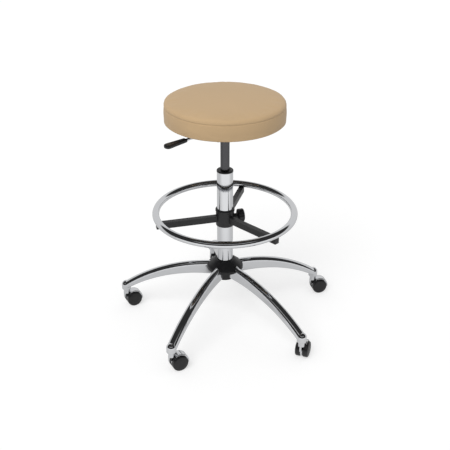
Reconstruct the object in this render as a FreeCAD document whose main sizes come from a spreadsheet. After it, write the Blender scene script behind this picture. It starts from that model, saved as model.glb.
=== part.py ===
import FreeCAD, Part
import math
import os
import Sketcher
from FreeCAD import Placement, Rotation, Vector

# An adjustable swivel stool: round padded seat on a gas lift, a foot ring that is clamped
# to the column, and a five-legged base on twin-wheel casters. Millimetres, +Z up, origin on
# the floor under the column, one leg towards +Y.

SIZES = {
    # Base
    "caster_circle_radius": 336.0,   # column axis to each caster's swivel axis
    "hub_radius": 32.5,
    "hub_bottom": 158.0,
    "hub_top": 208.0,
    "cap_height": 7.0,               # plastic cap under the hub
    "cap_wall": 2.5,
    "cover_radius": 57.5,            # domed cover over the leg roots
    "cover_bottom": 186.5,
    "cover_shoulder": 196.5,
    "cover_top": 218.0,
    "cover_wall": 2.5,
    "leg_start_height": 181.0,       # centre of the leg's section where it leaves the hub
    "leg_droop": 35.8,               # degrees the arched leg turns down by at its tip
    "leg_root_width": 22.0,
    "leg_root_depth": 45.0,
    "leg_tip_width": 30.0,
    "leg_tip_depth": 21.0,
    "leg_edge_radius": 4.0,
    "socket_radius": 15.0,           # upright socket at the leg's tip
    "socket_bottom": 65.0,
    "socket_top": 95.0,
    "socket_bore_radius": 5.75,
    "socket_bore_depth": 24.0,
    # Casters
    "wheel_radius": 25.0,
    "wheel_width": 17.5,
    "wheel_inset": 4.0,              # caster's middle plane to a wheel's inner face
    "axle_radius": 3.0,
    "axle_length": 32.0,
    "caster_trail": 22.0,            # swivel axis to wheel axle
    "web_thickness": 6.0,
    "web_radius": 23.0,
    "hood_radius": 30.0,
    "hood_wall": 3.0,
    "hood_width": 27.0,
    "hood_angle": 128.0,             # degrees that the hood wraps round the wheels
    "boss_radius": 10.0,
    "boss_bottom": 49.5,
    "stem_radius": 5.5,
    "stem_top": 87.5,
    "groove_radius": 4.5,
    "grip_ring_height": 3.6,
    "grip_ring_bottom": 80.0,
    # Column and gas lift
    "column_radius": 25.0,
    "column_wall": 2.0,
    "column_bottom": 168.0,
    "column_top": 521.0,
    "column_floor": 4.0,
    "taper_drop": 1.2,               # the column's foot is this much smaller in radius
    "bush_length": 72.0,
    "lip_height": 5.0,
    "lip_radius": 25.6,
    "gas_radius": 14.0,
    "gas_wall": 1.8,
    "gas_bottom": 316.0,
    "gas_top": 654.0,
    "gas_taper_length": 42.0,
    "gas_taper_drop": 0.7,
    "valve_seat": 600.0,             # top of the gas chamber
    "valve_radius": 4.0,
    "valve_length": 24.0,
    "guide_length": 20.0,
    "rod_radius": 5.0,
    "rod_bottom": 161.0,
    "rod_top": 454.0,
    "piston_height": 14.0,
    "shoulder_radius": 8.0,
    "shoulder_height": 3.0,
    "bearing_height": 5.0,
    "bearing_radius": 11.0,
    "clip_thickness": 1.2,
    "clip_radius": 8.5,
    # Foot ring
    "ring_radius": 215.0,            # centre line of the bent tube
    "ring_tube_radius": 10.75,
    "ring_wall": 1.5,
    "ring_height": 383.0,
    "collar_bottom": 340.0,
    "collar_top": 394.0,
    "collar_radius": 28.5,
    "collar_rim_radius": 30.0,
    "collar_rim_height": 5.0,
    "liner_wall": 1.05,
    "spoke_width": 16.0,
    "spoke_depth": 20.0,
    "spoke_wall": 2.0,
    "spoke_reach": 218.0,
    "saddle_depth": 1.0,
    "spoke_angle": 67.3,             # degrees from +X to the first spoke
    "knob_angle": 7.3,
    "knob_height": 364.0,
    "knob_radius": 21.0,
    "knob_depth": 21.0,
    "knob_start": 39.0,
    "knob_flute_radius": 4.5,
    "knob_flute_sink": 2.2,
    "stud_radius": 4.0,
    "stud_start": 33.0,
    "stud_length": 20.0,
    "clamp_boss_radius": 8.5,
    "clamp_boss_reach": 37.5,
    # Seat
    "seat_radius": 181.5,
    "seat_bottom": 684.0,
    "seat_top": 750.0,
    "seat_top_edge": 12.0,
    "seat_bottom_edge": 10.0,
    "board_radius": 166.0,
    "board_thickness": 12.0,
    "dust_cover_thickness": 2.0,
    "plate_length": 180.0,
    "plate_width": 150.0,
    "plate_thickness": 3.0,
    "channel_length": 120.0,
    "channel_width": 66.0,
    "channel_bottom": 640.0,
    "taper_boss_radius": 19.0,
    "taper_boss_bottom": 630.0,
    "taper_boss_top": 651.0,
    "bolt_radius": 3.0,
    "bolt_head_radius": 5.0,
    "bolt_head_height": 4.5,
    "bolt_length": 15.0,
    "bolt_spacing_long": 150.0,
    "bolt_spacing_wide": 120.0,
    "nut_radius": 5.0,
    "nut_flange_radius": 9.0,
    "nut_flange_height": 1.2,
    "lever_angle": 216.3,            # degrees from +X to the release lever
    "lever_height": 664.0,
    "lever_radius": 4.0,
    "lever_pivot": 38.0,             # lift axis to the lever's pivot pin
    "lever_tail": 6.0,
    "pivot_pin_radius": 3.0,
    "pivot_barrel_radius": 7.5,
    "pivot_barrel_length": 24.0,
    "handle_start": 154.0,
    "handle_end": 232.0,
    "handle_neck_width": 15.0,
    "handle_width": 26.0,
    "handle_thickness": 11.0,
    "handle_bore_depth": 34.0,
    # Clearances
    "running_gap": 0.08,             # radial, shaft in its bush or bore
    "seat_gap": 0.05,                # radial, parts pushed together and left so
    "free_gap": 0.3,                 # between parts that pass each other
}

LEG_ANGLES = [18 + 72 * turn for turn in range(5)]
CASTER_HEADINGS = [7, 22, 20, 20, 62]   # degrees from +X to each caster's trailing wheels
SPOKE_TURNS = [0, 120, 240]
LEG_SECTIONS = 6

doc = FreeCAD.newDocument("swivel_stool")
sheet = doc.addObject("Spreadsheet::Sheet", "dim")
for row, (alias, size) in enumerate(SIZES.items(), start=1):
    sheet.set("A%d" % row, alias.replace("_", " "))
    sheet.set("B%d" % row, str(size))
    sheet.setAlias("B%d" % row, alias)
doc.recompute()

nodes = {}


# --- Shared ways of drawing -------------------------------------------------------------

def formula(text):
    """The text with each size's name pointed at its cell on the sheet."""
    words = "".join(c if c.isalnum() or c == "_" else " " for c in text).split()
    for word in sorted(set(words) & set(SIZES), key=len, reverse=True):
        text = replace_word(text, word)
    return text


def replace_word(text, word):
    """The text with whole-word matches of one size's name prefixed by the sheet's name."""
    out, rest = "", text
    while word in rest:
        before, rest = rest.split(word, 1)
        whole = not (before[-1:].isalnum() or before[-1:] in ("_", ".") or
                     rest[:1].isalnum() or rest[:1] == "_")
        out += before + ("dim." if whole else "") + word
    return out + rest


def number(text):
    """The number that a formula gives with the sheet as it stands."""
    result = sheet.evalExpression(formula(text))
    return float(getattr(result, "Value", result))


def keep(item, name):
    """Names a finished sub-part, which is the name of its file."""
    item.Label = name
    nodes[name] = item
    return item


def place(item, x="0", y="0", z="0", turn=None):
    """Puts an item at formulas x, y, z, turned by the given rotation."""
    item.Placement = Placement(Vector(number(x), number(y), number(z)), turn or Rotation())
    for axis, text in (("x", x), ("y", y), ("z", z)):
        if text != "0":
            item.setExpression("Placement.Base." + axis, formula(text))
    return item


def about_z(degrees):
    return Rotation(Vector(0, 0, 1), degrees)


def solid(kind, name, x="0", y="0", z="0", turn=None, **sizes):
    """A Part primitive whose sizes and place are formulas."""
    item = doc.addObject("Part::" + kind, name)
    for size, text in sizes.items():
        item.setExpression(size, formula(text))
    return place(item, x, y, z, turn)


def fuse(name, *items):
    item = doc.addObject("Part::MultiFuse", name)
    item.Shapes = list(items)
    return item


def cut(name, base, *tools):
    item = doc.addObject("Part::Cut", name)
    item.Base = base
    item.Tool = tools[0] if len(tools) == 1 else fuse(name + "_tools", *tools)
    return item


def plane_of(body, role):
    return [p for p in body.Origin.OriginFeatures if p.Role == role][0]


def locate(sketch, geometry, point, x, y):
    """Ties a sketch point to formulas for its distances from the sketch's origin."""
    for kind, axis, text in (("DistanceX", -2, x), ("DistanceY", -1, y)):
        if text == "0":
            sketch.addConstraint(Sketcher.Constraint("PointOnObject", geometry, point, axis))
        else:
            rule = Sketcher.Constraint(kind, -1, 1, geometry, point, number(text))
            index = sketch.addConstraint(rule)
            sketch.setExpression("Constraints[%d]" % index, formula(text))


def corner_arc(before, corner, after, radius):
    """A round corner: its arc, its two ends along the outline, and whether it turns left."""
    back = (before - corner).normalize()
    ahead = (after - corner).normalize()
    half = back.getAngle(ahead) / 2
    first = corner + back * (radius / math.tan(half))
    last = corner + ahead * (radius / math.tan(half))
    centre = corner + (back + ahead).normalize() * (radius / math.sin(half))
    left = back.cross(ahead).z < 0
    start, end = (first, last) if left else (last, first)
    from_angle = math.atan2(start.y - centre.y, start.x - centre.x)
    to_angle = math.atan2(end.y - centre.y, end.x - centre.x)
    arc = Part.ArcOfCircle(Part.Circle(centre, Vector(0, 0, 1), radius), from_angle, to_angle)
    return arc, first, last, left


def outline(sketch, corners):
    """A closed outline. Each corner is (x, y) or (x, y, radius), all of them formulas."""
    count = len(corners)
    points = [Vector(number(c[0]), number(c[1]), 0) for c in corners]
    rounds = {}
    for i, corner in enumerate(corners):
        if len(corner) == 3:
            rounds[i] = corner_arc(points[i - 1], points[i], points[(i + 1) % count],
                                   number(corner[2]))
    lines = []
    for i in range(count):
        after = (i + 1) % count
        start = rounds[i][2] if i in rounds else points[i]
        end = rounds[after][1] if after in rounds else points[after]
        lines.append(sketch.addGeometry(Part.LineSegment(start, end), False))
    for i, corner in enumerate(corners):
        if i not in rounds:
            sketch.addConstraint(Sketcher.Constraint("Coincident", lines[i - 1], 2, lines[i], 1))
            locate(sketch, lines[i], 1, corner[0], corner[1])
            continue
        arc, first, last, left = rounds[i]
        curve = sketch.addGeometry(arc, False)
        into, out_of = (1, 2) if left else (2, 1)
        sketch.addConstraint(Sketcher.Constraint("Tangent", lines[i - 1], 2, curve, into))
        sketch.addConstraint(Sketcher.Constraint("Tangent", lines[i], 1, curve, out_of))
        tip = sketch.addGeometry(Part.Point(points[i]), True)
        sketch.addConstraint(Sketcher.Constraint("PointOnObject", tip, 1, lines[i - 1]))
        sketch.addConstraint(Sketcher.Constraint("PointOnObject", tip, 1, lines[i]))
        locate(sketch, tip, 1, corner[0], corner[1])
        index = sketch.addConstraint(Sketcher.Constraint("Radius", curve, number(corner[2])))
        sketch.setExpression("Constraints[%d]" % index, formula(corner[2]))


def sketch_on(body, name, role, corners):
    sketch = body.newObject("Sketcher::SketchObject", name)
    sketch.AttachmentSupport = [(plane_of(body, role), "")]
    sketch.MapMode = "FlatFace"
    outline(sketch, corners)
    return sketch


def turned(name, corners, sweep="360"):
    """A body turned about its own Z axis from an outline of (radius, height) corners."""
    body = doc.addObject("PartDesign::Body", name)
    sketch = sketch_on(body, name + "_outline", "XZ_Plane", corners)
    revolution = body.newObject("PartDesign::Revolution", name + "_turn")
    revolution.Profile = sketch
    revolution.ReferenceAxis = (sketch, ["V_Axis"])
    revolution.setExpression("Angle", formula(sweep))
    return body


def ring(name, inner, outer, bottom, top):
    """A turned ring between two radii and two heights."""
    return turned(name, [(inner, bottom), (outer, bottom), (outer, top), (inner, top)])


ALONG_X = Rotation(Vector(0, 1, 0), 90)       # turns a primitive's Z axis to +X
ALONG_Y = Rotation(Vector(1, 0, 0), -90)      # turns a primitive's Z axis to +Y


# --- Base -------------------------------------------------------------------------------

def build_hub():
    """Steel hub with a tapered bore, the plastic cap under it and the domed cover over it."""
    hub = turned("hub_socket", [
        ("column_radius - taper_drop + seat_gap", "hub_bottom"),
        ("hub_radius", "hub_bottom"),
        ("hub_radius", "hub_top", "3"),
        ("column_radius + seat_gap", "hub_top"),
        ("column_radius - taper_drop + seat_gap", "column_bottom")])
    keep(hub, "hub_socket")
    plug = "column_radius - taper_drop"
    cap = turned("hub_bottom_cap", [
        ("0", "hub_bottom - cap_height"),
        ("hub_radius", "hub_bottom - cap_height", "cap_height * 0.7"),
        ("hub_radius", "hub_bottom"),
        (plug, "hub_bottom"),
        (plug, "hub_bottom + cap_wall"),
        (plug + " - cap_wall", "hub_bottom + cap_wall"),
        (plug + " - cap_wall", "hub_bottom - cap_height + cap_wall"),
        ("0", "hub_bottom - cap_height + cap_wall")])
    keep(cap, "hub_bottom_cap")


def build_hub_cover():
    """Domed shell round the column with an arched slot for each leg."""
    dome = turned("hub_dome", [
        ("column_radius + free_gap", "cover_top"),
        ("column_radius + 6", "cover_top", "3"),
        ("cover_radius", "cover_shoulder", "9"),
        ("cover_radius", "cover_bottom"),
        ("cover_radius - cover_wall", "cover_bottom"),
        ("cover_radius - cover_wall", "cover_shoulder - cover_wall / 2", "7"),
        ("column_radius + 5", "cover_top - cover_wall"),
        ("column_radius + free_gap", "cover_top - cover_wall")])
    slot_radius = "leg_root_width / 2 + 4 * free_gap"
    arch_height = "leg_start_height + leg_root_depth / 2 - leg_root_width / 2"
    slots = []
    for index, angle in enumerate(LEG_ANGLES, start=1):
        arch = solid("Cylinder", "slot_arch_%d" % index, z=arch_height, turn=ALONG_X,
                     Radius=slot_radius, Height="cover_radius + 10")
        mouth = solid("Box", "slot_mouth_%d" % index,
                      y="-(%s)" % slot_radius, z="cover_bottom - 5",
                      Length="cover_radius + 10", Width="2 * (%s)" % slot_radius,
                      Height=arch_height + " - cover_bottom + 5")
        slot = fuse("slot_%d" % index, arch, mouth)
        slots.append(place(slot, turn=about_z(angle)))
    keep(cut("hub_cover", dome, *slots), "hub_cover")


def leg_section(body, step):
    """One section of an arched leg, square to its centre line: flat sides, round top."""
    share = "%d / %d" % (step, LEG_SECTIONS - 1)
    width = "(leg_root_width + (leg_tip_width - leg_root_width) * %s)" % share
    depth = "(leg_root_depth + (leg_tip_depth - leg_root_depth) * %s)" % share
    sketch = sketch_on(body, body.Name + "_section_%d" % step, "YZ_Plane", [
        ("-%s / 2" % width, "-%s / 2" % depth, "leg_edge_radius"),
        ("%s / 2" % width, "-%s / 2" % depth, "leg_edge_radius"),
        ("%s / 2" % width, "%s / 2" % depth, width + " * 0.46"),
        ("-%s / 2" % width, "%s / 2" % depth, width + " * 0.46")])
    slope = "(leg_droop * %s)" % share
    start = "(hub_radius - 6)"
    bend = "((caster_circle_radius - %s) / sin(leg_droop))" % start
    reach = "%s + %s * sin%s" % (start, bend, slope)
    height = "leg_start_height - %s * (1 - cos%s)" % (bend, slope)
    sketch.AttachmentOffset = Placement(Vector(0, number(height), number(reach)),
                                        Rotation(Vector(1, 0, 0), -number(slope)))
    sketch.setExpression("AttachmentOffset.Base.y", formula(height))
    sketch.setExpression("AttachmentOffset.Base.z", formula(reach))
    sketch.setExpression("AttachmentOffset.Rotation.Angle", formula(slope))
    return sketch


def build_leg(number_of_leg, angle):
    """Arched tube leg, deep and narrow at the hub, wide and shallow at its upright socket."""
    name = "leg_%d" % number_of_leg
    arch = doc.addObject("PartDesign::Body", name + "_arch")
    sections = [leg_section(arch, step) for step in range(LEG_SECTIONS)]
    loft = arch.newObject("PartDesign::AdditiveLoft", name + "_loft")
    loft.Profile = sections[0]
    loft.Sections = sections[1:]
    socket = turned(name + "_socket", [
        ("0", "socket_bottom"),
        ("socket_radius", "socket_bottom", "2"),
        ("socket_radius", "socket_top", "socket_radius * 0.93"),
        ("0", "socket_top")])
    place(socket, x="caster_circle_radius")
    bore = solid("Cylinder", name + "_bore", x="caster_circle_radius", z="socket_bottom - 5",
                 Radius="socket_bore_radius", Height="socket_bore_depth + 5")
    hub = solid("Cylinder", name + "_root", z="hub_bottom - 20",
                Radius="hub_radius", Height="hub_top - hub_bottom + 40")
    leg = cut(name, fuse(name + "_whole", arch, socket), bore, hub)
    keep(place(leg, turn=about_z(angle)), name)


# --- Casters ----------------------------------------------------------------------------

def under_leg(item, leg, along="0", across="0", height="0", turn=None):
    """Puts an item in a caster's frame: +X from its swivel axis to its trailing wheels."""
    angle, heading = LEG_ANGLES[leg - 1], CASTER_HEADINGS[leg - 1]
    x = "caster_circle_radius * cos(%g) + %s * cos(%g) - %s * sin(%g)" % (
        angle, along, heading, across, heading)
    y = "caster_circle_radius * sin(%g) + %s * sin(%g) + %s * cos(%g)" % (
        angle, along, heading, across, heading)
    return place(item, x, y, height, about_z(heading).multiply(turn or Rotation()))


def build_wheel(leg, name, side):
    """A hard wheel with a closed, gently domed outer face and a blind bore for the axle."""
    wheel = turned(name, [
        ("axle_radius + running_gap", "0"),
        ("wheel_radius", "0", "2"),
        ("wheel_radius", "wheel_width - 2.5", "4"),
        ("wheel_radius * 0.55", "wheel_width", "20"),
        ("0", "wheel_width"),
        ("0", "axle_length / 2 - wheel_inset + free_gap"),
        ("axle_radius + running_gap", "axle_length / 2 - wheel_inset + free_gap")])
    under_leg(wheel, leg, "caster_trail", "(%d * wheel_inset)" % side, "wheel_radius",
              Rotation(Vector(1, 0, 0), -90 * side))
    keep(wheel, name)


def build_hood(leg, name):
    """Fender over both wheels, the web between them and the boss that holds the stem."""
    fender = turned(name + "_fender", [
        ("hood_radius - hood_wall", "-hood_width / 2"),
        ("hood_radius", "-hood_width / 2", "2.4"),
        ("hood_radius", "hood_width / 2", "2.4"),
        ("hood_radius - hood_wall", "hood_width / 2")], sweep="hood_angle")
    back_lean = 10
    place(fender, x="caster_trail", z="wheel_radius",
          turn=Rotation(Vector(1, 0, 0), 90).multiply(about_z(-back_lean)))
    web = solid("Cylinder", name + "_web", x="caster_trail", y="-web_thickness / 2",
                z="wheel_radius", turn=ALONG_Y, Radius="web_radius", Height="web_thickness")
    crown = solid("Cylinder", name + "_crown", x="caster_trail", y="-web_thickness / 2",
                  z="wheel_radius",
                  turn=Rotation(Vector(1, 0, 0), -90).multiply(about_z(back_lean - 128)),
                  Radius="hood_radius - hood_wall / 2", Height="web_thickness",
                  Angle="hood_angle")
    neck = solid("Box", name + "_neck", x="-boss_radius", y="-web_thickness / 2",
                 z="wheel_radius + 8", Length="caster_trail", Width="web_thickness",
                 Height="boss_bottom - wheel_radius - 6")
    boss = solid("Cylinder", name + "_boss", z="boss_bottom", Radius="boss_radius",
                 Height="socket_bottom - free_gap - boss_bottom")
    stem_bore = solid("Cylinder", name + "_stem_bore", z="boss_bottom",
                      Radius="stem_radius", Height="socket_bottom")
    axle_bore = solid("Cylinder", name + "_axle_bore", x="caster_trail", y="-wheel_radius",
                      z="wheel_radius", turn=ALONG_Y, Radius="axle_radius",
                      Height="2 * wheel_radius")
    hood = cut(name, fuse(name + "_whole", fender, web, crown, neck, boss),
               stem_bore, axle_bore)
    keep(under_leg(hood, leg), name)


def build_stem(leg, name):
    """Swivel stem with a groove for its grip ring and a tapered tip."""
    stem = turned(name, [
        ("0", "boss_bottom"),
        ("stem_radius", "boss_bottom"),
        ("stem_radius", "grip_ring_bottom - free_gap / 2"),
        ("groove_radius", "grip_ring_bottom - free_gap / 2"),
        ("groove_radius", "grip_ring_bottom + grip_ring_height + free_gap / 2"),
        ("stem_radius", "grip_ring_bottom + grip_ring_height + free_gap / 2"),
        ("stem_radius - 1.5", "stem_top"),
        ("0", "stem_top")])
    keep(under_leg(stem, leg), name)


def build_axle(leg, name):
    """Plain pin through the web that carries both wheels."""
    axle = doc.addObject("Part::Cylinder", name)
    axle.setExpression("Radius", formula("axle_radius"))
    axle.setExpression("Height", formula("axle_length"))
    under_leg(axle, leg, "caster_trail", "(-axle_length / 2)", "wheel_radius", ALONG_Y)
    keep(axle, name)


def build_caster(leg):
    """Hood, stem, axle and two wheels under one leg."""
    name = "caster_%d_" % leg
    build_hood(leg, name + "hood")
    build_stem(leg, name + "stem")
    build_axle(leg, name + "axle")
    build_wheel(leg, name + "wheel_left", 1)
    build_wheel(leg, name + "wheel_right", -1)


def build_grip_rings():
    """Split rings that hold each caster's stem in its socket."""
    rings = []
    for index, angle in enumerate(LEG_ANGLES, start=1):
        band = ring("grip_band_%d" % index, "groove_radius + running_gap",
                    "socket_bore_radius - seat_gap", "grip_ring_bottom",
                    "grip_ring_bottom + grip_ring_height")
        split = solid("Box", "grip_split_%d" % index, y="-0.8", z="grip_ring_bottom - 1",
                      Length="2 * socket_bore_radius", Width="1.6",
                      Height="grip_ring_height + 2")
        piece = cut("grip_ring_%d" % index, band, split)
        rings.append(place(piece, x="caster_circle_radius * cos(%g)" % angle,
                           y="caster_circle_radius * sin(%g)" % angle))
    keep(fuse("stem_grip_rings", *rings), "stem_grip_rings")


# --- Column and gas lift ----------------------------------------------------------------

def build_column():
    """Outer tube with its tapered foot and floor, and the guide bush in its mouth."""
    foot = "column_radius - taper_drop"
    inside = "column_radius - column_wall"
    tube = turned("column_tube", [
        ("rod_radius + running_gap", "column_bottom"),
        (foot, "column_bottom"),
        ("column_radius", "hub_top"),
        ("column_radius", "column_top"),
        (inside, "column_top"),
        (inside, "hub_top"),
        (foot + " - column_wall", "column_bottom + column_floor"),
        ("rod_radius + running_gap", "column_bottom + column_floor")])
    keep(tube, "column_tube")
    bush = turned("column_bush", [
        ("gas_radius + running_gap", "column_top - bush_length"),
        (inside, "column_top - bush_length"),
        (inside, "column_top"),
        ("lip_radius", "column_top"),
        ("lip_radius", "column_top + lip_height", "2"),
        ("gas_radius + running_gap", "column_top + lip_height")])
    keep(bush, "column_bush")


def build_lift_rod():
    """Piston rod on its thrust bearing, held under the column's floor by a clip."""
    clip_top = "column_bottom - free_gap"
    clip_bottom = clip_top + " - clip_thickness"
    bearing_top = "column_bottom + column_floor + running_gap + bearing_height"
    piston_bottom = "rod_top - piston_height"
    groove = "rod_radius - 1"
    rod = turned("piston_rod", [
        ("0", "rod_bottom"),
        ("rod_radius - 0.8", "rod_bottom"),
        ("rod_radius", "rod_bottom + 0.8"),
        ("rod_radius", clip_bottom),
        (groove, clip_bottom),
        (groove, clip_top),
        ("rod_radius", clip_top),
        ("rod_radius", bearing_top),
        ("shoulder_radius", bearing_top),
        ("shoulder_radius", bearing_top + " + shoulder_height"),
        ("rod_radius", bearing_top + " + shoulder_height"),
        ("rod_radius", piston_bottom),
        ("rod_radius - 1", piston_bottom),
        ("rod_radius - 1", "rod_top"),
        ("0", "rod_top")])
    keep(rod, "piston_rod")
    inside = "gas_radius - gas_wall"
    piston = turned("piston", [
        ("rod_radius - 1", piston_bottom),
        (inside + " - running_gap", piston_bottom, "1"),
        (inside + " - running_gap", "rod_top", "1"),
        ("rod_radius - 1", "rod_top")])
    keep(piston, "piston")
    bearing = ring("thrust_bearing", "rod_radius + seat_gap", "bearing_radius",
                   "column_bottom + column_floor + running_gap", bearing_top)
    keep(bearing, "thrust_bearing")
    disc = ring("clip_disc", groove + " + seat_gap", "clip_radius", clip_bottom, clip_top)
    opening = solid("Box", "clip_opening", y="-rod_radius * 0.7", z="column_bottom - 5",
                    Length="2 * clip_radius", Width="rod_radius * 1.4", Height="5")
    keep(cut("rod_clip", disc, opening), "rod_clip")


def build_gas_cylinder():
    """Pressure tube with its tapered head, the rod guide in its foot and the valve pin."""
    inside = "gas_radius - gas_wall"
    tube = turned("pressure_tube", [
        (inside, "gas_bottom"),
        ("gas_radius", "gas_bottom"),
        ("gas_radius", "gas_top - gas_taper_length"),
        ("gas_radius - gas_taper_drop", "gas_top"),
        ("valve_radius + running_gap", "gas_top"),
        ("valve_radius + running_gap", "valve_seat + 12"),
        ("0", "valve_seat + 12"),
        ("0", "valve_seat"),
        (inside, "valve_seat")])
    keep(tube, "pressure_tube")
    guide = ring("rod_guide", "rod_radius + running_gap", inside, "gas_bottom",
                 "gas_bottom + guide_length")
    keep(guide, "rod_guide")
    pin_top = "lever_height - lever_radius - free_gap"
    pin = turned("valve_pin", [
        ("0", pin_top + " - valve_length"),
        ("valve_radius", pin_top + " - valve_length"),
        ("valve_radius", pin_top, "1.2"),
        ("0", pin_top)])
    keep(pin, "valve_pin")


# --- Foot ring --------------------------------------------------------------------------

def knob_cylinder(name, start, radius, height):
    """A cylinder along the clamp knob's axis, from a distance off the column's axis."""
    return solid("Cylinder", name, x="(%s) * cos(knob_angle)" % start,
                 y="(%s) * sin(knob_angle)" % start, z="knob_height",
                 turn=about_z(number("knob_angle")).multiply(ALONG_X),
                 Radius=radius, Height=height)


def build_collar():
    """Plastic liner that slides on the column, and the steel collar that turns on it."""
    inner = "column_radius + running_gap"
    outer = inner + " + liner_wall"
    liner = turned("collar_liner", [
        (inner, "collar_bottom"),
        (outer, "collar_bottom"),
        (outer, "collar_top + free_gap"),
        ("collar_radius", "collar_top + free_gap"),
        ("collar_radius", "collar_top + 2", "1"),
        (inner, "collar_top + 2")])
    keep(liner, "collar_liner")
    bore = outer + " + running_gap"
    sleeve = turned("collar_sleeve", [
        (bore, "collar_bottom"),
        ("collar_radius", "collar_bottom", "1"),
        ("collar_radius", "collar_top - collar_rim_height"),
        ("collar_rim_radius", "collar_top - collar_rim_height"),
        ("collar_rim_radius", "collar_top", "1.5"),
        (bore, "collar_top")])
    boss = knob_cylinder("clamp_boss", bore, "clamp_boss_radius",
                         "clamp_boss_reach - (%s)" % bore)
    core = solid("Cylinder", "collar_core", z="collar_bottom - 5",
                 Radius=bore, Height="collar_top - collar_bottom + 10")
    thread = knob_cylinder("clamp_thread", "column_radius", "stud_radius + seat_gap",
                           "clamp_boss_reach")
    keep(cut("ring_collar", fuse("collar_with_boss", sleeve, boss), core, thread),
         "ring_collar")


def build_spoke(index, turn):
    """Rectangular tube from the collar to just past the ring, which lies in its saddle."""
    name = "spoke_%d" % index
    top = "ring_height - ring_tube_radius + saddle_depth"
    bar = solid("Box", name + "_bar", y="-spoke_width / 2", z=top + " - spoke_depth",
                Length="spoke_reach", Width="spoke_width", Height="spoke_depth")
    hollow = solid("Box", name + "_hollow", y="spoke_wall - spoke_width / 2",
                   z=top + " - spoke_depth + spoke_wall", Length="spoke_reach - spoke_wall",
                   Width="spoke_width - 2 * spoke_wall", Height="spoke_depth - 2 * spoke_wall")
    root = solid("Cylinder", name + "_root", z="collar_bottom",
                 Radius="collar_radius", Height="collar_top - collar_bottom")
    saddle = solid("Torus", name + "_saddle", z="ring_height",
                   Radius1="ring_radius", Radius2="ring_tube_radius")
    spoke = cut(name, bar, hollow, root, saddle)
    keep(place(spoke, turn=about_z(number("spoke_angle") + turn)), name)


def build_foot_ring():
    """The bent tube, hollow all the way round."""
    outside = solid("Torus", "ring_outside", z="ring_height",
                    Radius1="ring_radius", Radius2="ring_tube_radius")
    inside = solid("Torus", "ring_inside", z="ring_height",
                   Radius1="ring_radius", Radius2="ring_tube_radius - ring_wall")
    keep(cut("foot_ring", outside, inside), "foot_ring")


def build_clamp():
    """Pad that presses the liner on the column, the threaded stud and the fluted knob."""
    pad_start = "column_radius + liner_wall + 2 * running_gap"
    pad = knob_cylinder("clamp_pad", pad_start, "stud_radius - 0.1",
                        "stud_start - seat_gap - (%s)" % pad_start)
    keep(pad, "clamp_pad")
    stud = knob_cylinder("clamp_stud", "stud_start", "stud_radius", "stud_length")
    keep(stud, "clamp_stud")
    body = turned("knob_body", [
        ("0", "0"),
        ("knob_radius * 0.55", "0"),
        ("knob_radius", "3", "2"),
        ("knob_radius", "knob_depth", "3"),
        ("knob_radius * 0.6", "knob_depth"),
        ("knob_radius * 0.55", "knob_depth - 1.5"),
        ("0", "knob_depth - 1.5")])
    flutes = []
    for flute in range(8):
        angle = 45 * flute + 22.5
        reach = "(knob_radius + knob_flute_radius - knob_flute_sink)"
        flutes.append(solid("Cylinder", "knob_flute_%d" % flute,
                            x="%s * cos(%g)" % (reach, angle),
                            y="%s * sin(%g)" % (reach, angle), z="-1",
                            Radius="knob_flute_radius", Height="knob_depth + 2"))
    socket = solid("Cylinder", "knob_socket", z="-1", Radius="stud_radius",
                   Height="stud_start + stud_length - knob_start + 1")
    knob = cut("clamp_knob", body, socket, *flutes)
    place(knob, x="knob_start * cos(knob_angle)", y="knob_start * sin(knob_angle)",
          z="knob_height", turn=about_z(number("knob_angle")).multiply(ALONG_X))
    keep(knob, "clamp_knob")


# --- Seat -------------------------------------------------------------------------------

def seat_corners():
    """The four bolt places under the seat, in the seat plate's own directions."""
    return [("%s * bolt_spacing_long / 2" % along, "%s * bolt_spacing_wide / 2" % across)
            for along in ("1", "-1") for across in ("1", "-1")]


def to_lever_side(item):
    """Turns a piece drawn along +X to the lever's direction."""
    return place(item, turn=about_z(number("lever_angle")))


def build_seat_plate():
    """Pressed plate with its channel, the boss on the gas lift's taper and the pivot pin."""
    plate_bottom = "seat_bottom - plate_thickness"
    plate = solid("Box", "plate_top", x="-plate_length / 2", y="-plate_width / 2",
                  z=plate_bottom, Length="plate_length", Width="plate_width",
                  Height="plate_thickness")
    shell = solid("Box", "channel_outside", x="-channel_length / 2", y="-channel_width / 2",
                  z="channel_bottom", Length="channel_length", Width="channel_width",
                  Height=plate_bottom + " - channel_bottom")
    inside = solid("Box", "channel_inside", x="-channel_length",
                   y="plate_thickness - channel_width / 2",
                   z="channel_bottom + plate_thickness", Length="2 * channel_length",
                   Width="channel_width - 2 * plate_thickness",
                   Height=plate_bottom + " - channel_bottom - plate_thickness")
    channel = cut("channel", shell, inside)
    boss = solid("Cylinder", "taper_boss", z="taper_boss_bottom", Radius="taper_boss_radius",
                 Height="taper_boss_top - taper_boss_bottom")
    pin = solid("Cylinder", "pivot_pin", x="lever_pivot", y="-channel_width / 2",
                z="lever_height", turn=ALONG_Y, Radius="pivot_pin_radius",
                Height="channel_width")
    taper = solid("Cone", "taper_bore", z="gas_top - gas_taper_length",
                  Radius1="gas_radius + seat_gap",
                  Radius2="gas_radius - gas_taper_drop + seat_gap",
                  Height="gas_taper_length")
    holes = [solid("Cylinder", "plate_hole_%d" % i, x=x, y=y, z=plate_bottom + " - 5",
                   Radius="bolt_radius + free_gap", Height="plate_thickness + 10")
             for i, (x, y) in enumerate(seat_corners())]
    plate = cut("mount_plate", fuse("plate_welded", plate, channel, boss, pin), taper, *holes)
    keep(to_lever_side(plate), "mount_plate")


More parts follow.
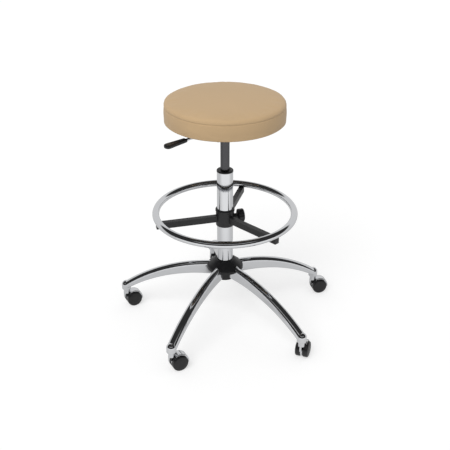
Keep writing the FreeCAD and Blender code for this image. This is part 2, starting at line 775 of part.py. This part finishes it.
def build_seat_bolts():
    """Four bolts up through the plate, and the flanged nuts in the board that they enter."""
    plate_bottom = "seat_bottom - plate_thickness"
    board_top = "seat_bottom + dust_cover_thickness + board_thickness"
    bolts, nuts = [], []
    for i, (x, y) in enumerate(seat_corners()):
        head = solid("Cylinder", "bolt_head_%d" % i, x=x, y=y,
                     z=plate_bottom + " - bolt_head_height",
                     Radius="bolt_head_radius", Height="bolt_head_height")
        shank = solid("Cylinder", "bolt_shank_%d" % i, x=x, y=y, z=plate_bottom,
                      Radius="bolt_radius", Height="bolt_length")
        bolts.append(fuse("bolt_%d" % i, head, shank))
        barrel = solid("Cylinder", "nut_barrel_%d" % i, x=x, y=y,
                       z="seat_bottom + dust_cover_thickness", Radius="nut_radius",
                       Height="board_thickness")
        flange = solid("Cylinder", "nut_flange_%d" % i, x=x, y=y, z=board_top,
                       Radius="nut_flange_radius", Height="nut_flange_height")
        thread = solid("Cylinder", "nut_thread_%d" % i, x=x, y=y, z="seat_bottom",
                       Radius="bolt_radius", Height="board_thickness + 10")
        nuts.append(cut("nut_%d" % i, fuse("nut_whole_%d" % i, barrel, flange), thread))
    keep(to_lever_side(fuse("mount_bolts", *bolts)), "mount_bolts")
    keep(to_lever_side(fuse("tee_nuts", *nuts)), "tee_nuts")


def drilled_disc(name, radius, bottom, thickness, hole_radius):
    """A round board with the four bolt holes."""
    disc = solid("Cylinder", name + "_disc", z=bottom, Radius=radius, Height=thickness)
    holes = [solid("Cylinder", "%s_hole_%d" % (name, i), x=x, y=y, z=bottom + " - 5",
                   Radius=hole_radius, Height=thickness + " + 10")
             for i, (x, y) in enumerate(seat_corners())]
    keep(to_lever_side(cut(name, disc, *holes)), name)


def build_seat():
    """Dust cover, plywood board and the upholstered cushion that wraps over the board."""
    drilled_disc("dust_cover", "board_radius", "seat_bottom", "dust_cover_thickness",
                 "bolt_radius + free_gap")
    drilled_disc("seat_board", "board_radius", "seat_bottom + dust_cover_thickness",
                 "board_thickness", "nut_radius")
    pocket_top = ("seat_bottom + dust_cover_thickness + board_thickness"
                  " + nut_flange_height")
    cushion = turned("seat_cushion", [
        ("board_radius + free_gap", "seat_bottom"),
        ("seat_radius", "seat_bottom", "seat_bottom_edge"),
        ("seat_radius", "seat_top", "seat_top_edge"),
        ("0", "seat_top"),
        ("0", pocket_top),
        ("board_radius + free_gap", pocket_top)])
    keep(cushion, "seat_cushion")


def build_lever():
    """Release lever: a rod through a pivot barrel, with its tail over the valve pin."""
    rod = solid("Cylinder", "lever_rod", x="-lever_tail", z="lever_height", turn=ALONG_X,
                Radius="lever_radius",
                Height="lever_tail + handle_start + handle_bore_depth")
    barrel = solid("Cylinder", "lever_barrel", x="lever_pivot",
                   y="-pivot_barrel_length / 2", z="lever_height", turn=ALONG_Y,
                   Radius="pivot_barrel_radius", Height="pivot_barrel_length")
    bore = solid("Cylinder", "lever_bore", x="lever_pivot", y="-pivot_barrel_length",
                 z="lever_height", turn=ALONG_Y, Radius="pivot_pin_radius + running_gap",
                 Height="2 * pivot_barrel_length")
    lever = cut("release_lever", fuse("lever_whole", rod, barrel), bore)
    keep(to_lever_side(lever), "release_lever")


def build_handle():
    """Flat paddle grip, narrow where the rod enters and wide and round at its end."""
    body = doc.addObject("PartDesign::Body", "handle_body")
    sketch = sketch_on(body, "handle_outline", "XY_Plane", [
        ("handle_start", "-handle_neck_width / 2", "2"),
        ("handle_end", "-handle_width / 2", "handle_width * 0.44"),
        ("handle_end", "handle_width / 2", "handle_width * 0.44"),
        ("handle_start", "handle_neck_width / 2", "2")])
    pad = body.newObject("PartDesign::Pad", "handle_pad")
    pad.Profile = sketch
    pad.Midplane = True
    pad.setExpression("Length", formula("handle_thickness"))
    doc.recompute()
    rims = ["Edge%d" % i for i, edge in enumerate(body.Shape.Edges, start=1)
            if abs(abs(edge.BoundBox.Center.z) - number("handle_thickness") / 2) < 0.01]
    rounding = body.newObject("PartDesign::Fillet", "handle_rounding")
    rounding.Base = (pad, rims)
    rounding.setExpression("Radius", formula("handle_thickness * 0.36"))
    place(body, z="lever_height")
    bore = solid("Cylinder", "handle_bore", z="lever_height", turn=ALONG_X,
                 Radius="lever_radius", Height="handle_start + handle_bore_depth")
    keep(to_lever_side(cut("lever_handle", body, bore)), "lever_handle")


# --- Build, check and write -------------------------------------------------------------

def check():
    """Stops the build if any object failed or any sub-part isn't whole."""
    failed = [item.Name for item in doc.Objects
              if "Invalid" in item.State or "Error" in item.State]
    if failed:
        raise RuntimeError("these objects failed: %s" % failed)
    for name, item in nodes.items():
        if item.Shape.isNull() or not item.Shape.isValid() or not item.Shape.Solids:
            raise RuntimeError("%s has no valid solid" % name)


build_hub()
build_hub_cover()
build_column()
build_lift_rod()
build_gas_cylinder()
for leg_number, leg_angle in enumerate(LEG_ANGLES, start=1):
    build_leg(leg_number, leg_angle)
    build_caster(leg_number)
build_grip_rings()
build_collar()
for spoke_number, spoke_turn in enumerate(SPOKE_TURNS, start=1):
    build_spoke(spoke_number, spoke_turn)
build_foot_ring()
build_clamp()
build_seat_plate()
build_seat_bolts()
build_seat()
build_lever()
build_handle()
doc.recompute()
check()

os.makedirs("parts", exist_ok=True)
for node_name, sub_part in nodes.items():
    sub_part.Shape.exportStep("parts/%s.step" % node_name)
print("wrote %d sub-parts" % len(nodes))
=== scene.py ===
import math
import bpy
import numpy as np
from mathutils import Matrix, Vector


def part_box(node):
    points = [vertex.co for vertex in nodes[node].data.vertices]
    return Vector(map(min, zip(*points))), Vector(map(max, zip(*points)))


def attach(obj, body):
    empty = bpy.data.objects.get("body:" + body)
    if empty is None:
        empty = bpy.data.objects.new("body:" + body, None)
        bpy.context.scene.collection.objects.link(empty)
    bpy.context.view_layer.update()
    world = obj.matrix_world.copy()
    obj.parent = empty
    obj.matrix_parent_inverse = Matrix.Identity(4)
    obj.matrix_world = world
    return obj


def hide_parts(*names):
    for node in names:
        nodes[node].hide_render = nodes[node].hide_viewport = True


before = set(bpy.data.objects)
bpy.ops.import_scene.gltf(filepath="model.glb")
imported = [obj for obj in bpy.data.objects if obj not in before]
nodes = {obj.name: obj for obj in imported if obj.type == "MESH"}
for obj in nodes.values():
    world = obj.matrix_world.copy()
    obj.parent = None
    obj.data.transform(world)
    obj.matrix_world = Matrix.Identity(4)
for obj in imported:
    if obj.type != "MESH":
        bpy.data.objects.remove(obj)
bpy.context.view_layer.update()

# --- Studio ------------------------------------------------------------------------------
# A pale seamless floor and a white surround. Polished metal sees the grey far wall, a dark
# ceiling that leans over the near side, and one narrow strip lamp above the camera.

def link(tree, *pairs):
    """Joins node outputs to node inputs, each pair being (output socket, input socket)."""
    for output, socket in pairs:
        tree.links.new(output, socket)


def figure(tree, operation, *values):
    """Output of a math node whose inputs are sockets or plain numbers."""
    node = tree.nodes.new("ShaderNodeMath")
    node.operation = operation
    for socket, value in zip(node.inputs, values):
        if isinstance(value, (int, float)):
            socket.default_value = value
        else:
            tree.links.new(value, socket)
    return node.outputs[0]


def between(tree, value, low, high, out_low=0.0, out_high=1.0):
    """Output of a smooth map from the range low..high to out_low..out_high."""
    node = tree.nodes.new("ShaderNodeMapRange")
    node.interpolation_type = "SMOOTHSTEP"
    for socket, number in zip(node.inputs[1:5], (low, high, out_low, out_high)):
        socket.default_value = number
    tree.links.new(value, node.inputs[0])
    return node.outputs[0]


def studio_world():
    """White to the camera, an even soft light to matt faces, the studio's walls to metal."""
    far_wall, ceiling, strip, soft_light = 0.68, 0.03, 0.5, 0.62
    lean, edge_low, edge_high = 0.93, -0.06, 0.07
    away_x, away_y = 0.134, 0.991
    world = bpy.data.worlds.new("studio_surround")
    bpy.context.scene.world = world
    world.use_nodes = True
    tree = world.node_tree
    direction = tree.nodes.new("ShaderNodeTexCoord")
    axes = tree.nodes.new("ShaderNodeSeparateXYZ")
    link(tree, (direction.outputs["Generated"], axes.inputs[0]))
    x, y, z = axes.outputs
    away = figure(tree, "ADD", figure(tree, "MULTIPLY", x, away_x),
                  figure(tree, "MULTIPLY", y, away_y))
    over = figure(tree, "SUBTRACT", z, figure(tree, "MULTIPLY", away, lean))
    walls = between(tree, over, edge_low, edge_high, far_wall, ceiling)
    band = figure(tree, "MULTIPLY", between(tree, z, 0.58, 0.64),
                  between(tree, z, 0.70, 0.75, 1.0, 0.0))
    near = between(tree, away, -0.55, -0.35, strip, 0.0)
    metal = figure(tree, "ADD", walls, figure(tree, "MULTIPLY", band, near))
    rays = tree.nodes.new("ShaderNodeLightPath")
    glossy = rays.outputs["Is Glossy Ray"]
    matt = figure(tree, "MULTIPLY", figure(tree, "SUBTRACT", 1.0, glossy), soft_light)
    unseen = figure(tree, "ADD", figure(tree, "MULTIPLY", metal, glossy), matt)
    seen = figure(tree, "MAXIMUM", unseen, rays.outputs["Is Camera Ray"])
    link(tree, (seen, tree.nodes["Background"].inputs["Color"]))


def studio_sun():
    """A broad soft key light from the front left."""
    sun = bpy.data.objects.new("key_light", bpy.data.lights.new("key_light", "SUN"))
    sun.data.energy = 1.45
    sun.data.angle = math.radians(38)
    sun.visible_glossy = False
    sun.rotation_euler = (math.radians(42), 0, math.radians(-35))
    bpy.context.scene.collection.objects.link(sun)


def studio_floor():
    """A wide pale floor, a little below the wheels, that keeps the stool's shadow. It glows
    white to the camera, and to glossy rays it glows as a painted reflection, brighter near the
    camera than far off.
    """
    half, drop = 9.0, -0.0004
    # The second and third values are painted reflection: the floor's glow seen only in glossy
    # reflections, near side and far side.
    camera_glow, near_painted_reflection, far_painted_reflection, near_end = 0.53, 0.40, 0.12, -0.9
    corners = [(-half, -half, drop), (half, -half, drop), (half, half, drop),
               (-half, half, drop)]
    mesh = bpy.data.meshes.new("floor")
    mesh.from_pydata(corners, [], [(0, 1, 2, 3)])
    floor = bpy.data.objects.new("floor", mesh)
    bpy.context.scene.collection.objects.link(floor)
    pale = bpy.data.materials.new("pale_floor")
    pale.use_nodes = True
    tree = pale.node_tree
    shader = tree.nodes["Principled BSDF"]
    shader.inputs["Roughness"].default_value = 0.9
    shader.inputs["Specular IOR Level"].default_value = 0.0
    shader.inputs["Base Color"].default_value = (0.52, 0.52, 0.52, 1)
    shader.inputs["Emission Strength"].default_value = 1.0
    rays = tree.nodes.new("ShaderNodeLightPath")
    place = tree.nodes.new("ShaderNodeTexCoord")
    axes = tree.nodes.new("ShaderNodeSeparateXYZ")
    link(tree, (place.outputs["Object"], axes.inputs[0]))
    # Painted reflection: glow that only glossy rays see, 0.40 on the near side up to y = -0.9,
    # easing to 0.12 from y = 0 on.
    painted_reflection = between(tree, axes.outputs["Y"], near_end, 0.0, near_painted_reflection, far_painted_reflection)
    seen = figure(tree, "MULTIPLY", rays.outputs["Is Camera Ray"], camera_glow)
    white_and_painted_reflection = figure(tree, "ADD", seen,
                  figure(tree, "MULTIPLY", rays.outputs["Is Glossy Ray"], painted_reflection))
    link(tree, (white_and_painted_reflection, shader.inputs["Emission Color"]))
    mesh.materials.append(pale)


def photographer_camera():
    """Camera at standing eye height, looking down at the stool's middle."""
    camera = bpy.data.objects.new("camera", bpy.data.cameras.new("camera"))
    bpy.context.scene.collection.objects.link(camera)
    bpy.context.scene.camera = camera
    turn = math.radians(-7.7)
    distance, height, down = 2.265, 1.520, math.radians(27.6)
    camera.location = (distance * math.sin(turn), -distance * math.cos(turn), height)
    camera.rotation_euler = (math.pi / 2 - down, 0, turn)
    camera.data.lens = 65.1
    camera.data.sensor_width = 36.0


studio_world()
studio_floor()
photographer_camera()
studio_sun()
bpy.context.scene.view_settings.view_transform = "Standard"


# --- Chrome tube and castings --------------------------------------------------------------
# The column, the foot ring, the five legs and the caster hoods are polished, nickelled and
# chromed. The plating is bright, with faint cloudy haze and the odd fine rub mark.

def finish(name, slot_values):
    """A material whose Principled BSDF has the given plain socket values."""
    material = bpy.data.materials.new(name)
    material.use_nodes = True
    shader = material.node_tree.nodes["Principled BSDF"]
    for socket, value in slot_values.items():
        shader.inputs[socket].default_value = value
    return material, material.node_tree, shader


def surface_group():
    """Group: cloudy shift of colour and roughness from one noise, fine grain from another."""
    group = bpy.data.node_groups.new("handled_surface", "ShaderNodeTree")
    face = group.interface
    inputs = (("Color", "NodeSocketColor", (0.5, 0.5, 0.5, 1)),
              ("Cloud Scale", "NodeSocketFloat", 12.0), ("Cloud Shift", "NodeSocketFloat", 0.1),
              ("Roughness", "NodeSocketFloat", 0.4), ("Roughness Shift", "NodeSocketFloat", 0.1),
              ("Grain Scale", "NodeSocketFloat", 900.0),
              ("Grain Height", "NodeSocketFloat", 0.0))
    for name, kind, value in inputs:
        face.new_socket(name, in_out="INPUT", socket_type=kind).default_value = value
    for name, kind in (("Color", "NodeSocketColor"), ("Roughness", "NodeSocketFloat"),
                       ("Normal", "NodeSocketVector")):
        face.new_socket(name, in_out="OUTPUT", socket_type=kind)
    add = group.nodes.new
    given, out = add("NodeGroupInput"), add("NodeGroupOutput")
    place = add("ShaderNodeTexCoord")
    cloud, grain = add("ShaderNodeTexNoise"), add("ShaderNodeTexNoise")
    cloud.inputs["Detail"].default_value = 5.0
    grain.inputs["Detail"].default_value = 3.0
    centred = add("ShaderNodeMath")
    centred.operation = "SUBTRACT"
    centred.inputs[1].default_value = 0.5
    shift = add("ShaderNodeMath")
    shift.operation = "MULTIPLY"
    bright = add("ShaderNodeMath")
    bright.operation = "ADD"
    bright.inputs[1].default_value = 1.0
    tint = add("ShaderNodeVectorMath")
    tint.operation = "SCALE"
    rough = add("ShaderNodeMath")
    rough.operation = "MULTIPLY_ADD"
    bump = add("ShaderNodeBump")
    bump.inputs["Distance"].default_value = 0.001
    link(group, (place.outputs["Object"], cloud.inputs["Vector"]),
         (place.outputs["Object"], grain.inputs["Vector"]),
         (given.outputs["Cloud Scale"], cloud.inputs["Scale"]),
         (given.outputs["Grain Scale"], grain.inputs["Scale"]),
         (cloud.outputs["Fac"], centred.inputs[0]), (centred.outputs[0], shift.inputs[0]),
         (given.outputs["Cloud Shift"], shift.inputs[1]), (shift.outputs[0], bright.inputs[0]),
         (given.outputs["Color"], tint.inputs[0]), (bright.outputs[0], tint.inputs["Scale"]),
         (tint.outputs[0], out.inputs["Color"]),
         (centred.outputs[0], rough.inputs[0]),
         (given.outputs["Roughness Shift"], rough.inputs[1]),
         (given.outputs["Roughness"], rough.inputs[2]),
         (rough.outputs[0], out.inputs["Roughness"]),
         (grain.outputs["Fac"], bump.inputs["Height"]),
         (given.outputs["Grain Height"], bump.inputs["Strength"]),
         (bump.outputs["Normal"], out.inputs["Normal"]))
    return group


handled_surface = surface_group()


def handled(name, values, plain):
    """A material with the handled-surface group feeding colour, roughness and normal."""
    material, tree, shader = finish(name, plain)
    group = tree.nodes.new("ShaderNodeGroup")
    group.node_tree = handled_surface
    for socket, value in values.items():
        group.inputs[socket].default_value = value
    link(tree, (group.outputs["Color"], shader.inputs["Base Color"]),
         (group.outputs["Roughness"], shader.inputs["Roughness"]),
         (group.outputs["Normal"], shader.inputs["Normal"]))
    return material


def wear(material, *names):
    """Gives CAD nodes a material in place of the plain one that they came with."""
    for name in names:
        for holder in nodes[name].material_slots:
            holder.material = material


chrome = handled("chrome_plate",
                 {"Color": (0.80, 0.81, 0.83, 1), "Cloud Scale": 9.0, "Cloud Shift": 0.06,
                  "Roughness": 0.06, "Roughness Shift": 0.06, "Grain Scale": 500.0,
                  "Grain Height": 0.01}, {"Metallic": 1.0})
wear(chrome, "column_tube", "foot_ring", *["leg_%d" % n for n in range(1, 6)],
     *["caster_%d_hood" % n for n in range(1, 6)], "release_lever")


# --- Moulded black plastic -----------------------------------------------------------------
# Hub cover, hub cap, guide bush, collar liner, clamp knob and lever grip are moulded in black
# nylon with a fine spark-eroded grain that scatters a soft sheen.

moulded = handled("moulded_black",
                  {"Color": (0.009, 0.009, 0.010, 1), "Cloud Scale": 30.0, "Cloud Shift": 0.5,
                   "Roughness": 0.42, "Roughness Shift": 0.15, "Grain Scale": 1500.0,
                   "Grain Height": 0.25}, {"IOR": 1.5})
wear(moulded, "hub_cover", "hub_bottom_cap", "column_bush", "collar_liner", "clamp_knob",
     "clamp_pad", "lever_handle", "rod_guide")


# --- Black painted steel -------------------------------------------------------------------
# Hub, collar, spokes and seat plate are powder coated: satin black with slight orange peel.

powder = handled("powder_black",
                 {"Color": (0.011, 0.011, 0.012, 1), "Cloud Scale": 20.0, "Cloud Shift": 0.3,
                  "Roughness": 0.38, "Roughness Shift": 0.12, "Grain Scale": 420.0,
                  "Grain Height": 0.35}, {"IOR": 1.5})
wear(powder, "hub_socket", "ring_collar", "spoke_1", "spoke_2", "spoke_3", "mount_plate")


# --- Gas cylinder --------------------------------------------------------------------------
# The pressure tube is black-nitrided steel, ground smooth, so it shines darkly.

nitrided = handled("nitrided_steel",
                   {"Color": (0.10, 0.10, 0.105, 1), "Cloud Scale": 15.0, "Cloud Shift": 0.25,
                    "Roughness": 0.26, "Roughness Shift": 0.1, "Grain Scale": 900.0,
                    "Grain Height": 0.05}, {"Metallic": 1.0})
wear(nitrided, "pressure_tube")


# --- Bright steel --------------------------------------------------------------------------
# Stems, axles, bolts, nuts, rod and clips are zinc plated: grey, with a dull cloudy shine.

zinc = handled("zinc_plate",
               {"Color": (0.50, 0.51, 0.53, 1), "Cloud Scale": 60.0, "Cloud Shift": 0.3,
                "Roughness": 0.30, "Roughness Shift": 0.2, "Grain Scale": 800.0,
                "Grain Height": 0.1}, {"Metallic": 1.0})
wear(zinc, "piston_rod", "piston", "thrust_bearing", "rod_clip", "valve_pin", "clamp_stud",
     "mount_bolts", "tee_nuts", "stem_grip_rings",
     *["caster_%d_%s" % (n, part) for n in range(1, 6) for part in ("stem", "axle")])


# --- Caster wheels -------------------------------------------------------------------------
# Hard nylon wheels, black, scuffed a little on the tread by the floor.

nylon = handled("wheel_nylon",
                {"Color": (0.012, 0.012, 0.013, 1), "Cloud Scale": 45.0, "Cloud Shift": 0.5,
                 "Roughness": 0.36, "Roughness Shift": 0.2, "Grain Scale": 900.0,
                 "Grain Height": 0.2}, {"IOR": 1.52})
wear(nylon, *["caster_%d_wheel_%s" % (n, side) for n in range(1, 6)
              for side in ("left", "right")])


# --- Seat ----------------------------------------------------------------------------------
# A round foam pad on a plywood board, upholstered in tan vinyl: a crowned top panel sewn to a
# side band that is pulled down and stapled under the board, with a black cloth dust cover.

cushion_low, cushion_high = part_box("seat_cushion")
seat_radius = (cushion_high.x - cushion_low.x) / 2
pocket_low, pocket_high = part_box("seat_board")
pocket_radius = (pocket_high.x - pocket_low.x) / 2 + 0.0008
seam_height = cushion_high.z - 0.0175


def bend(points, centre, radius, start, end, count):
    """Appends an arc of (radius, height) points about a centre, angles in degrees."""
    angles = np.radians(np.linspace(start, end, count))
    points.extend(zip(centre[0] + radius * np.cos(angles), centre[1] + radius * np.sin(angles)))


def cushion_profile():
    """Half section from the crown's centre outwards, down the band and into the pocket."""
    crown, roll, hem = 0.007, 0.013, 0.009
    seam_drop, seam_depth = 0.0135, 0.0011
    top = cushion_high.z - 0.002
    points = []
    reach = seat_radius - roll
    radii = np.linspace(0, reach, 26)[:-1]
    points.extend(zip(radii, top + crown * (1 - (radii / reach) ** 2.4)))
    bend(points, (reach, top - roll), roll, 88, 4, 10)
    seam = top - seam_drop
    for drop, dip in ((0.0012, 0.25), (0.0004, 1.0), (-0.0006, 1.0), (-0.0014, 0.2)):
        points.append((seat_radius - 0.0004 - seam_depth * dip, seam - 0.002 + drop))
    band = np.linspace(seam - 0.0065, cushion_low.z + hem + 0.002, 12)
    middle = (band[0] + band[-1]) / 2
    swell = 0.0012 * (1 - ((band - middle) / (band[0] - middle)) ** 2)
    points.extend(zip(np.full(12, seat_radius - 0.0004) + swell, band))
    bend(points, (seat_radius - hem, cushion_low.z + hem), hem, 0, -90, 8)
    points.append((pocket_radius + 0.002, cushion_low.z))
    points.append((pocket_radius, cushion_low.z + 0.001))
    roof = pocket_high.z + 0.0016
    points.extend([(pocket_radius, roof), (pocket_radius * 0.5, roof), (0, roof)])
    return np.array(points)


def turned_surface(name, profile, turns, radial):
    """A closed surface: profile (radius, height) carried round Z, radius plus radial(angle)."""
    angles = np.linspace(0, 2 * math.pi, turns, endpoint=False)
    rings = profile[1:-1]
    extra = radial(angles[None, :], rings[:, 1][:, None], rings[:, 0][:, None])
    radii = rings[:, 0][:, None] + extra
    grid = np.stack([radii * np.cos(angles), radii * np.sin(angles),
                     np.broadcast_to(rings[:, 1][:, None], radii.shape)], -1)
    poles = [[0, 0, profile[0, 1]], [0, 0, profile[-1, 1]]]
    points = np.vstack([grid.reshape(-1, 3), poles])
    row = np.arange(len(rings) - 1)[:, None] * turns
    column = np.arange(turns)[None, :]
    after = (column + 1) % turns
    quads = np.stack([row + column, row + turns + column, row + turns + after, row + after],
                     -1).reshape(-1, 4)
    last = (len(rings) - 1) * turns
    first_pole, last_pole = len(points) - 2, len(points) - 1
    fan = np.arange(turns)
    wrap = (fan + 1) % turns
    caps = [(first_pole, a, b) for a, b in zip(fan, wrap)]
    caps += [(last_pole, last + b, last + a) for a, b in zip(fan, wrap)]
    mesh = bpy.data.meshes.new(name)
    mesh.from_pydata(points.tolist(), [], quads.tolist() + caps)
    mesh.shade_smooth()
    piece = bpy.data.objects.new(name, mesh)
    bpy.context.scene.collection.objects.link(piece)
    return piece


def seam_puckers(angle, height, radius):
    """Tiny gathers just under the top seam and long soft folds down the band."""
    near_seam = np.exp(-((height - seam_height) / 0.006) ** 2)
    outside = np.clip((radius - 0.9 * seat_radius) / (0.1 * seat_radius), 0, 1)
    gathers = 0.00022 * np.sin(61 * angle + 1.3 * np.sin(5 * angle))
    folds = 0.0005 * np.sin(7 * angle + 0.8) * np.sin(3 * angle)
    return outside * (near_seam * gathers + folds)


cushion = turned_surface("seat_pad", cushion_profile(), 360, seam_puckers)


def points_of(mesh):
    """A mesh's vertices as an array of rows."""
    rows = np.empty(len(mesh.vertices) * 3)
    mesh.vertices.foreach_get("co", rows)
    return rows.reshape(-1, 3)


def evaluated(piece):
    """The piece's mesh with its modifiers worked out."""
    piece.update_tag()
    graph = bpy.context.evaluated_depsgraph_get()
    return bpy.data.meshes.new_from_object(piece.evaluated_get(graph))


def on_skin(points):
    """True for points on the crown and the band, false underneath and in the pocket."""
    radii = np.hypot(points[:, 0], points[:, 1])
    under = (radii < pocket_radius + 0.004) & (points[:, 2] < pocket_high.z + 0.004)
    return ~under & (points[:, 2] > cushion_low.z + 0.004)


def blown_up(form):
    """Copy of the form, remeshed evenly, started a little small and blown up as cloth.

    Each point's movement from the form is then cut to a few millimetres.
    """
    voxel, pressure, last_frame, start_scale, furthest = 0.005, 4.0, 20, 0.992, 0.0022
    shell = bpy.data.objects.new("seat_shell", form.data.copy())
    bpy.context.scene.collection.objects.link(shell)
    even = shell.modifiers.new("even", "REMESH")
    even.mode = "VOXEL"
    even.voxel_size = voxel
    shell.data = evaluated(shell)
    shell.modifiers.clear()
    form_points = points_of(shell.data)
    skin = on_skin(form_points)
    held = shell.vertex_groups.new(name="held")
    held.add([int(index) for index in np.flatnonzero(~skin)], 1.0, "REPLACE")
    start = form_points.copy()
    start[skin, :2] *= start_scale
    shell.data.vertices.foreach_set("co", start.ravel())
    cloth = shell.modifiers.new("vinyl", "CLOTH")
    cloth.settings.use_pressure = True
    cloth.settings.uniform_pressure_force = pressure
    cloth.settings.effector_weights.gravity = 0.0
    cloth.settings.vertex_group_mass = "held"
    cloth.point_cache.frame_start = 1
    cloth.point_cache.frame_end = last_frame
    for frame_number in range(1, last_frame + 1):
        bpy.context.scene.frame_set(frame_number)
    move = points_of(evaluated(shell)) - form_points
    length = np.linalg.norm(move, axis=1, keepdims=True)
    move *= np.minimum(1.0, furthest / np.maximum(length, 1e-9))
    shell.modifiers.clear()
    shell.data.vertices.foreach_set("co", (form_points + move).ravel())
    shell.data.update()
    bpy.context.scene.frame_set(1)
    return shell


def take_shape(piece, shell):
    """Lays the piece's skin on the shell, then sews the top seam's groove and gathers in."""
    groove, groove_width = 0.0012, 0.0012
    skin_group = piece.vertex_groups.new(name="skin")
    skin = on_skin(points_of(piece.data))
    skin_group.add([int(index) for index in np.flatnonzero(skin)], 1.0, "REPLACE")
    wrap = piece.modifiers.new("wrap", "SHRINKWRAP")
    wrap.target = shell
    wrap.vertex_group = "skin"
    points = points_of(evaluated(piece))
    piece.modifiers.clear()
    angle = np.arctan2(points[:, 1], points[:, 0])
    radius = np.hypot(points[:, 0], points[:, 1])
    away = (points[:, 2] - seam_height) / groove_width
    sewn = seam_puckers(angle, points[:, 2], radius) - groove * np.exp(-away ** 2)
    outside = skin & (radius > 0.95 * seat_radius)
    scale = 1 + np.where(outside, sewn / np.maximum(radius, 1e-6), 0.0)
    points[:, :2] *= scale[:, None]
    piece.data.vertices.foreach_set("co", points.ravel())
    piece.data.update()
    bpy.data.objects.remove(shell)


take_shape(cushion, blown_up(cushion))


def vinyl_material():
    """Tan vinyl: pebbled grain from cell edges, with a slow drift in its colour."""
    material, tree, shader = finish("tan_vinyl", {"IOR": 1.46, "Sheen Weight": 0.08,
                                                   "Sheen Roughness": 0.5})
    add = tree.nodes.new
    place = add("ShaderNodeTexCoord")
    group = add("ShaderNodeGroup")
    group.node_tree = handled_surface
    for socket, value in {"Color": (0.578, 0.402, 0.223, 1), "Cloud Scale": 7.0,
                          "Cloud Shift": 0.10, "Roughness": 0.55,
                          "Roughness Shift": 0.12}.items():
        group.inputs[socket].default_value = value
    pebble = add("ShaderNodeTexVoronoi")
    pebble.feature = "DISTANCE_TO_EDGE"
    pebble.inputs["Scale"].default_value = 700.0
    bump = add("ShaderNodeBump")
    bump.inputs["Strength"].default_value = 0.35
    bump.inputs["Distance"].default_value = 0.0006
    link(tree, (place.outputs["Object"], pebble.inputs["Vector"]),
         (pebble.outputs["Distance"], bump.inputs["Height"]),
         (group.outputs["Color"], shader.inputs["Base Color"]),
         (group.outputs["Roughness"], shader.inputs["Roughness"]),
         (bump.outputs["Normal"], shader.inputs["Normal"]))
    return material


cushion.data.materials.append(vinyl_material())
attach(cushion, "seat")
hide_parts("seat_cushion")

plywood = handled("birch_plywood",
                  {"Color": (0.55, 0.40, 0.24, 1), "Cloud Scale": 20.0, "Cloud Shift": 0.3,
                   "Roughness": 0.6, "Roughness Shift": 0.1, "Grain Scale": 300.0,
                   "Grain Height": 0.3}, {})
wear(plywood, "seat_board")
cloth = handled("dust_cloth",
                {"Color": (0.020, 0.020, 0.021, 1), "Cloud Scale": 25.0, "Cloud Shift": 0.4,
                 "Roughness": 0.9, "Roughness Shift": 0.08, "Grain Scale": 1100.0,
                 "Grain Height": 0.8}, {"Sheen Weight": 0.2})
wear(cloth, "dust_cover")
